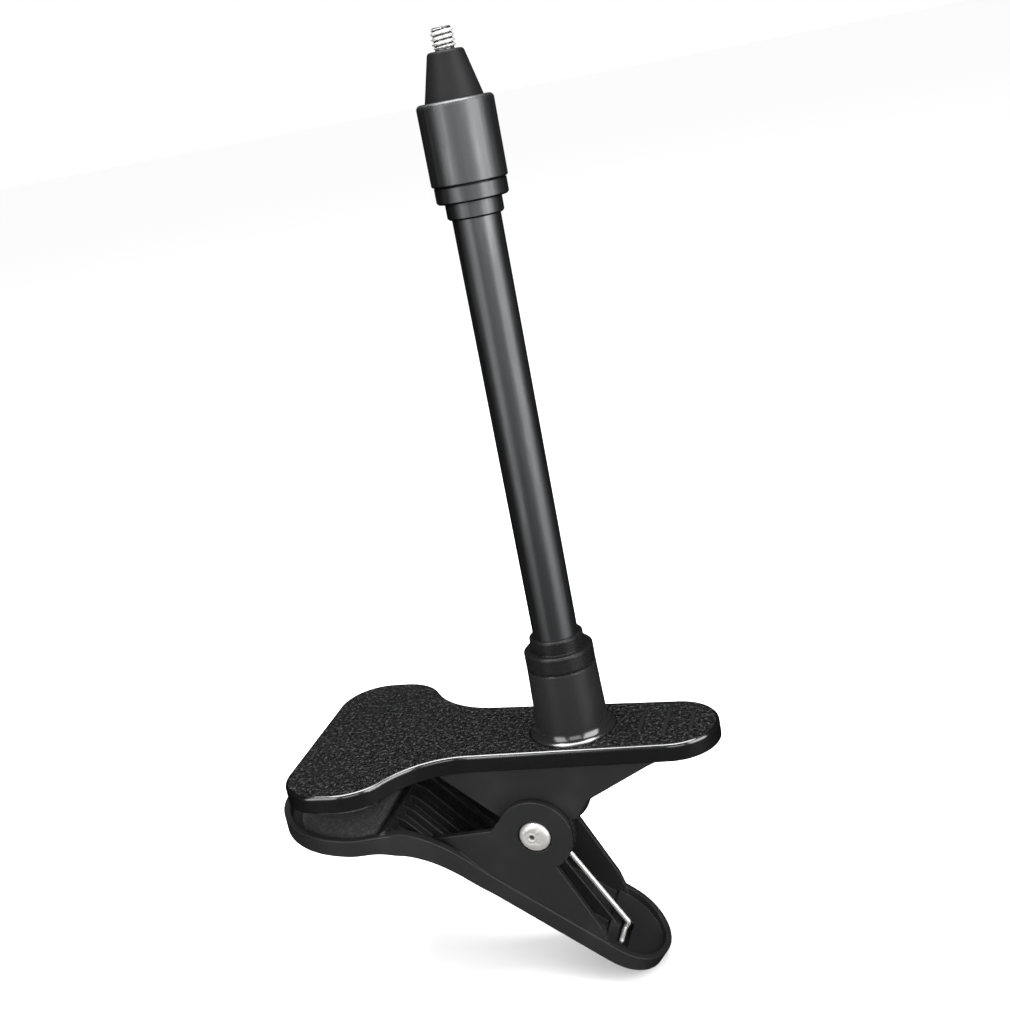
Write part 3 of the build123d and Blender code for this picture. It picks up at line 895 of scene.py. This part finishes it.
@dataclass
class PivotRivet(Assembly):
    """Rivet through the cheeks, with its washer."""

    shank_r: float = 2.5
    head_r: float = 4.8
    head_t: float = 1.7
    tail_r: float = 4.0
    dimple_x: float = -0.75
    dimple_z: float = 0.25
    dimple_r: float = 0.85
    dimple_deep: float = 0.75
    gap: float = 0.05
    count: int = 72

    def head_profile(self, seat: float) -> list[tuple[float, float]]:
        """Radius and depth of the head from its crown to the shank, in millimetres.

        Args:
            seat: Y of the face the head sits on.

        Returns:
            Pairs of radius and Y.
        """
        face = seat - self.head_t
        flat = 0.62 * self.head_r
        profile = [(r, face + 0.10 * (r / flat) ** 2) for r in np.linspace(0.15, flat, 18)]
        for deg in range(10, 90, 10):
            a = math.radians(deg)
            out = (self.head_r - flat) * math.sin(a)
            profile.append((flat + out, face + 0.1 + (self.head_t - 0.25) * (1 - math.cos(a))))
        profile.append((self.head_r, seat - 0.08))
        profile.append((self.head_r - 0.1, seat))
        profile.append((self.shank_r, seat))
        return profile

    def build(self) -> None:
        """Builds the rivet and dresses its washer."""
        low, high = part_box("pivot_pin")
        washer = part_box("pin_washer")
        seat = -washer[0].y / MM
        tail = washer[1].y / MM + self.gap
        far = high.y / MM
        profile = self.head_profile(seat)
        profile += [(self.shank_r, y) for y in np.linspace(seat + 1, tail, 8)]
        profile += [(self.tail_r - 0.1, tail), (self.tail_r, tail + 0.1), (self.tail_r, far - 0.6)]
        profile += [(self.tail_r - 0.25, far - 0.2), (self.tail_r - 0.9, far), (0.2, far)]
        centre = (low + high) / 2
        rings = []
        for r, y in profile:
            ring = circle(r, 0.0, self.count)
            x, z = ring[:, 0], ring[:, 1]
            far_off = np.hypot(x - self.dimple_x, z - self.dimple_z) / self.dimple_r
            ripple = 0.10 * np.exp(-((far_off - 2.1) / 0.6) ** 2)
            sink = self.dimple_deep * np.exp(-far_off ** 4) + ripple
            dent = np.array([noise.noise(Vector((a * 0.9, b * 0.9, 3.1))) for a, b in zip(x, z)]) * 0.09
            on_head = 1.0 if y < seat - 0.8 and r < self.head_r - 0.3 else 0.0
            depth = y + on_head * (sink + np.maximum(dent, -0.02))
            rings.append(np.stack([centre.x + x * MM, depth * MM, centre.z + z * MM], 1))
        piece = skin("rivet", rings, 50.0)
        dimple = (centre.x + self.dimple_x * MM, low.y, centre.z + self.dimple_z * MM)
        # Darker towards the dimple: near-black within about 0.7 mm of its centre, fading out by 1.25 mm.
        worn = GrimeAndShadeMetal("rivet_steel", (0.62, 0.61, 0.59), roughness=0.40, metallic=0.75,
                         mark_scale=0.9, smear=0.75, depth=0.10, centre=dimple, stretch=(1.0, 0.0, 1.0),
                         inner=0.70, outer=1.25, shade_and_grime=0.92)
        self.stand_in(piece, "pivot_pin", Body.CLIP, "rivet_steel", worn)
        self.dress_node("pin_washer", ZINC)


@dataclass
class TorsionSpring(Assembly):
    """Close-wound spring on the rivet, with a leg to each handle."""

    wire_r: float = 0.8
    coil_r: float = 3.9
    turns: int = 6
    pitch: float = 1.7
    start_y: float = 0.6
    reach_x: float = 19.67
    reach_z: float = -42.31
    slope_deg: float = 36.6
    drop: float = 2.8
    hook: float = 7.0
    upper_deg: float = 23.5
    upper_rise: float = 25.05
    bend_r: float = 1.0

    def rounded(self, corners: Sequence[np.ndarray], step: float = 0.22) -> np.ndarray:
        """Polyline with its corners rounded.

        Args:
            corners: end points and corners, in millimetres.
            step: spacing of points in the bends.

        Returns:
            The points.
        """
        out = [corners[0]]
        for before, corner, after in zip(corners, corners[1:], corners[2:]):
            u = (before - corner) / np.linalg.norm(before - corner)
            v = (after - corner) / np.linalg.norm(after - corner)
            half = math.acos(max(-1.0, min(1.0, float(u @ v)))) / 2
            run = self.bend_r / math.tan(half)
            middle = corner + (u + v) / np.linalg.norm(u + v) * self.bend_r / math.sin(half)
            count = max(4, int((math.pi - 2 * half) * self.bend_r / step))
            first = corner + u * run - middle
            last = corner + v * run - middle
            for k in range(count + 1):
                way = first * (1 - k / count) + last * (k / count)
                out.append(middle + way / np.linalg.norm(way) * self.bend_r)
        out.append(corners[-1])
        return np.array(out)

    def line(self) -> np.ndarray:
        """Centre line from the lower hook round the coil to the upper hook.

        Returns:
            Points in metres, about the pivot's middle.
        """
        slope = math.radians(self.slope_deg)
        bend = np.array([self.reach_x, self.start_y, self.reach_z])
        down = np.array([math.sin(slope), 0.0, math.cos(slope)]) * -self.drop
        tip = bend + down + np.array([0.0, -self.hook, 0.0])
        toward = math.atan2(self.reach_z, self.reach_x)
        toward -= math.acos(self.coil_r / math.hypot(self.reach_x, self.reach_z))
        leave = np.array([self.coil_r * math.cos(toward), self.start_y, self.coil_r * math.sin(toward)])
        a = math.radians(self.upper_deg)
        end_y = self.start_y - self.turns * self.pitch
        top = np.array([-self.coil_r * math.sin(a), end_y, self.coil_r * math.cos(a)])
        rise = self.upper_rise - top[2]
        rest = top + np.array([rise / math.tan(a), 0.0, rise])
        hook = rest + np.array([0.0, self.hook, 0.0])
        lower = self.rounded([tip, bend + down, bend, leave])
        upper = self.rounded([top, rest, hook])
        up_angle = math.atan2(top[2], top[0])
        sweep = (up_angle - toward) % (2 * math.pi) - 2 * math.pi * (self.turns + 1)
        count = 60 * self.turns
        share = np.linspace(0, 1, count)[1:-1]
        angle = toward + sweep * share
        coil = np.stack([self.coil_r * np.cos(angle), self.start_y + (end_y - self.start_y) * share,
                         self.coil_r * np.sin(angle)], 1)
        return np.concatenate([lower, coil, upper]) * MM

    def spread(self, line: np.ndarray) -> np.ndarray:
        """Line with long runs divided into points about 1.2 mm apart.

        Args:
            line: points of the line.

        Returns:
            The line with more points.
        """
        out = [line[0]]
        for a, b in zip(line, line[1:]):
            parts = max(1, int(np.linalg.norm(b - a) / (1.2 * MM)))
            out.extend(a + (b - a) * k / parts for k in range(1, parts + 1))
        return np.array(out)

    def build(self) -> None:
        """Builds the spring, left on no body."""
        low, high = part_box("pivot_pin")
        pivot = Vector(((low.x + high.x) / 2, 0.0, (low.z + high.z) / 2))
        line = self.spread(self.line()) + np.array(pivot)
        piece = tube("spring", line, self.wire_r * MM)
        self.stand_in(piece, "torsion_spring", None, "spring_steel", WIRE)
        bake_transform(piece)


@dataclass
class Post(Assembly):
    """Boss fixing, ferrules and pole."""

    def build(self) -> None:
        """Dresses the post."""
        self.dress_node("lower_ferrule", FERRULE_BLACK)
        for name in ("pole_tube", "upper_ferrule"):
            self.dress_node(name, POLE_COAT)
        for name in ("base_washer", "base_nut"):
            self.dress_node(name, ZINC)


@dataclass
class ThreadedNose(Assembly):
    """Lock collar, tapered nose and quarter-inch stud."""

    stud_r: float = 3.175
    root_r: float = 2.56
    pitch: float = 1.27
    neck_r: float = 2.6
    neck_show: float = 0.35
    head_t: float = 4.07
    head_flat: float = 5.55
    head_ease: float = 0.96
    head_bevel: float = 0.2
    lead_in: float = 0.5
    tip_cone: float = 0.9
    tip_slope: float = 0.95
    tip_flat: float = 0.35
    count: int = 72
    steps: int = 16

    def thread_radius(self, turn: np.ndarray) -> np.ndarray:
        """Radius of the thread at each share of a turn.

        Args:
            turn: share of the pitch, from 0 to 1.

        Returns:
            Radius in millimetres.
        """
        off = np.abs((turn % 1.0) - 0.5) * 2
        flank = np.clip((off - 0.16) / 0.62, 0, 1)
        return self.stud_r - (self.stud_r - self.root_r) * flank ** 0.9

    def stud(self) -> bpy.types.Object:
        """Screw with a hexagon head and a true helical thread.

        Returns:
            The new piece.
        """
        low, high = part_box("mount_screw")
        foot, tip = low.z / MM, high.z / MM
        cone_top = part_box("swivel_cone")[1].z / MM
        start = cone_top + self.neck_show
        centre = (low + high) / 2
        a = np.linspace(0, 2 * math.pi, self.count, endpoint=False)
        hexagon = self.head_flat / np.cos((a + math.pi / 6) % (math.pi / 3) - math.pi / 6)
        eased = hexagon * self.head_ease
        neck = np.full(self.count, self.neck_r)
        seat = foot + self.head_t
        layers = [(foot, eased), (foot + self.head_bevel, hexagon), (seat - self.head_bevel, hexagon)]
        layers += [(seat, eased), (seat, neck)]
        layers += [(z, neck) for z in np.linspace(seat + 0.4, start, 6)]
        rows = int((tip - start) / self.pitch * self.steps)
        for z in np.linspace(start + 0.05, tip, rows):
            turn = (z - start) / self.pitch - a / (2 * math.pi)
            radius = self.thread_radius(turn)
            begin = min(1.0, (z - start) / self.lead_in)
            radius = self.root_r + (radius - self.root_r) * begin
            limit = self.stud_r - max(0.0, z - (tip - self.tip_cone)) * self.tip_slope
            layers.append((z, np.minimum(radius, limit)))
        layers.append((tip, np.full(self.count, self.tip_flat * self.stud_r)))
        rings = []
        for z, radius in layers:
            rings.append(np.stack([centre.x + radius * np.cos(a) * MM, centre.y + radius * np.sin(a) * MM,
                                   np.full(self.count, z * MM)], 1))
        return skin("threaded_stud", rings, 38.0)

    def build(self) -> None:
        """Builds the stud and dresses the collar, disc and nose."""
        self.dress_node("lock_collar", COLLAR_COAT)
        self.dress_node("friction_disc", NYLON)
        self.dress_node("swivel_cone", NOSE_BLACK)
        low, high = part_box("mount_screw")
        axis = tuple((low + high) / 2)
        # Painted shade: the thread up to 0.19 mm above the root radius is painted near-black, fading out by
        # 0.37 mm, as shade in the grooves.
        plated_with_root_shade = GrimeAndShadeMetal("bright_steel", (0.91, 0.91, 0.90), roughness=0.35, metallic=0.72,
                           mark_scale=1.4, smear=0.20, depth=0.010, centre=axis, stretch=(1.0, 1.0, 0.0),
                           inner=self.root_r + 0.19, outer=self.root_r + 0.37, shade_and_grime=0.97)
        self.stand_in(self.stud(), "mount_screw", Body.NOSE, "bright_steel", plated_with_root_shade)


# ---- studio --------------------------------------------------------------------------
@dataclass(frozen=True)
class Lamp:
    """One soft rectangular light."""

    name: str
    azimuth: float
    elevation: float
    distance: float
    width: float
    height: float
    power: float


@dataclass
class Studio:
    """Camera, floor and soft lights."""

    eye: Colour = (0.17796, -0.35433, 0.19926)
    yaw_deg: float = -18.025
    pitch_deg: float = 17.145
    roll_deg: float = -11.086
    lens: float = 47.85
    floor_pale: float = 0.97
    floor_drop: float = 0.4
    floor_count: int = 96
    floor_rings: tuple[float, ...] = (150.0, 400.0, 900.0, 2000.0, 5000.0, 20000.0, 60000.0)
    lamps: tuple[Lamp, ...] = (
        Lamp("overhead", 17.0, 90.0, distance=1.0, width=1.10, height=0.60, power=21.0),
        Lamp("front_fill", 17.0, 14.0, distance=1.5, width=0.9, height=1.2, power=5.5),
        Lamp("left_strip", -29.0, 12.0, distance=1.1, width=0.62, height=1.3, power=7.0),
        Lamp("right_strip", 68.0, 12.0, distance=1.1, width=0.85, height=1.3, power=15.0),
    )

    def camera(self) -> None:
        """Sets the camera where the stand is looked at from."""
        yaw, pitch, roll = (math.radians(v) for v in (self.yaw_deg, self.pitch_deg, self.roll_deg))
        ahead = Vector((math.sin(yaw) * math.cos(pitch), math.cos(yaw) * math.cos(pitch), -math.sin(pitch)))
        level = Vector((math.cos(yaw), -math.sin(yaw), 0.0))
        over = level.cross(ahead)
        right = level * math.cos(roll) + over * math.sin(roll)
        up = -level * math.sin(roll) + over * math.cos(roll)
        data = bpy.data.cameras.new("camera")
        data.sensor_width = 36.0
        data.lens = self.lens
        data.clip_start = 0.01
        data.clip_end = 50.0
        camera = bpy.data.objects.new("camera", data)
        bpy.context.scene.collection.objects.link(camera)
        turn = Matrix((right, up, -ahead)).transposed().to_4x4()
        camera.matrix_world = Matrix.Translation(Vector(self.eye)) @ turn
        bpy.context.scene.camera = camera

    def floor(self, low: Vector) -> None:
        """Wide pale floor.

        Args:
            low: lowest corner of the object.
        """
        z = low.z / MM - self.floor_drop
        verts = []
        for radius in self.floor_rings:
            verts.extend(tuple(p * MM) for p in circle(radius, z, self.floor_count))
        faces = [tuple(range(self.floor_count))]
        faces += band_faces(len(self.floor_rings), self.floor_count)
        mesh = bpy.data.meshes.new("floor")
        mesh.from_pydata(verts, [], faces)
        floor = bpy.data.objects.new("floor", mesh)
        bpy.context.scene.collection.objects.link(floor)
        sheet = NodeSheet("floor_paper")
        sheet.shader.inputs["Base Color"].default_value = (self.floor_pale,) * 3 + (1.0,)
        sheet.shader.inputs["Roughness"].default_value = 0.95
        sheet.shader.inputs["Specular IOR Level"].default_value = 0.0
        dress(floor, sheet.material)
        floor.visible_glossy = False
        floor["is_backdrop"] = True

    def light(self, lamp: Lamp, target: Vector) -> None:
        """Adds one soft light aimed at the object.

        Args:
            lamp: its place, size and power.
            target: point it is aimed at.
        """
        a, e = math.radians(lamp.azimuth), math.radians(lamp.elevation)
        back = Vector((math.sin(a) * math.cos(e), -math.cos(a) * math.cos(e), math.sin(e)))
        data = bpy.data.lights.new(lamp.name, "AREA")
        data.shape = "RECTANGLE"
        data.size = lamp.width
        data.size_y = lamp.height
        data.energy = lamp.power
        light = bpy.data.objects.new(lamp.name, data)
        bpy.context.scene.collection.objects.link(light)
        light.location = target + back * lamp.distance
        across = Vector((math.cos(a), math.sin(a), 0.0))
        turn = Matrix((across, back.cross(across), back)).transposed()
        light.rotation_mode = "QUATERNION"
        light.rotation_quaternion = turn.to_quaternion()

    def world(self) -> None:
        """Even pale surround."""
        world = bpy.data.worlds.new("surround")
        world.use_nodes = True
        background = world.node_tree.nodes["Background"]
        background.inputs["Color"].default_value = (1.0, 1.0, 1.0, 1.0)
        background.inputs["Strength"].default_value = 1.0
        world.cycles_visibility.glossy = False
        bpy.context.scene.world = world

    def build(self, low: Vector, high: Vector) -> None:
        """Builds the whole studio.

        Args:
            low: lowest corner of the object.
            high: highest corner of the object.
        """
        self.camera()
        self.floor(low)
        self.world()
        for lamp in self.lamps:
            self.light(lamp, (low + high) / 2)
        bpy.context.scene.view_settings.view_transform = "Standard"
        LOG.info("studio with %d lights", len(self.lamps))


def main() -> None:
    """Builds the stand's looks and its studio."""
    logging.basicConfig(level=logging.INFO, format="%(name)s: %(message)s")
    for thing in list(bpy.data.objects):
        bpy.data.objects.remove(thing)
    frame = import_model()
    cad_low, cad_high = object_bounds()
    nodes = frame["nodes"]
    for part in (SpringClip, GripPads, PivotRivet, TorsionSpring, Post, ThreadedNose):
        part(nodes).build()
        LOG.info("finished %s", part.__name__)
    Studio().build(cad_low, cad_high)


if __name__ == "__main__":
    main()
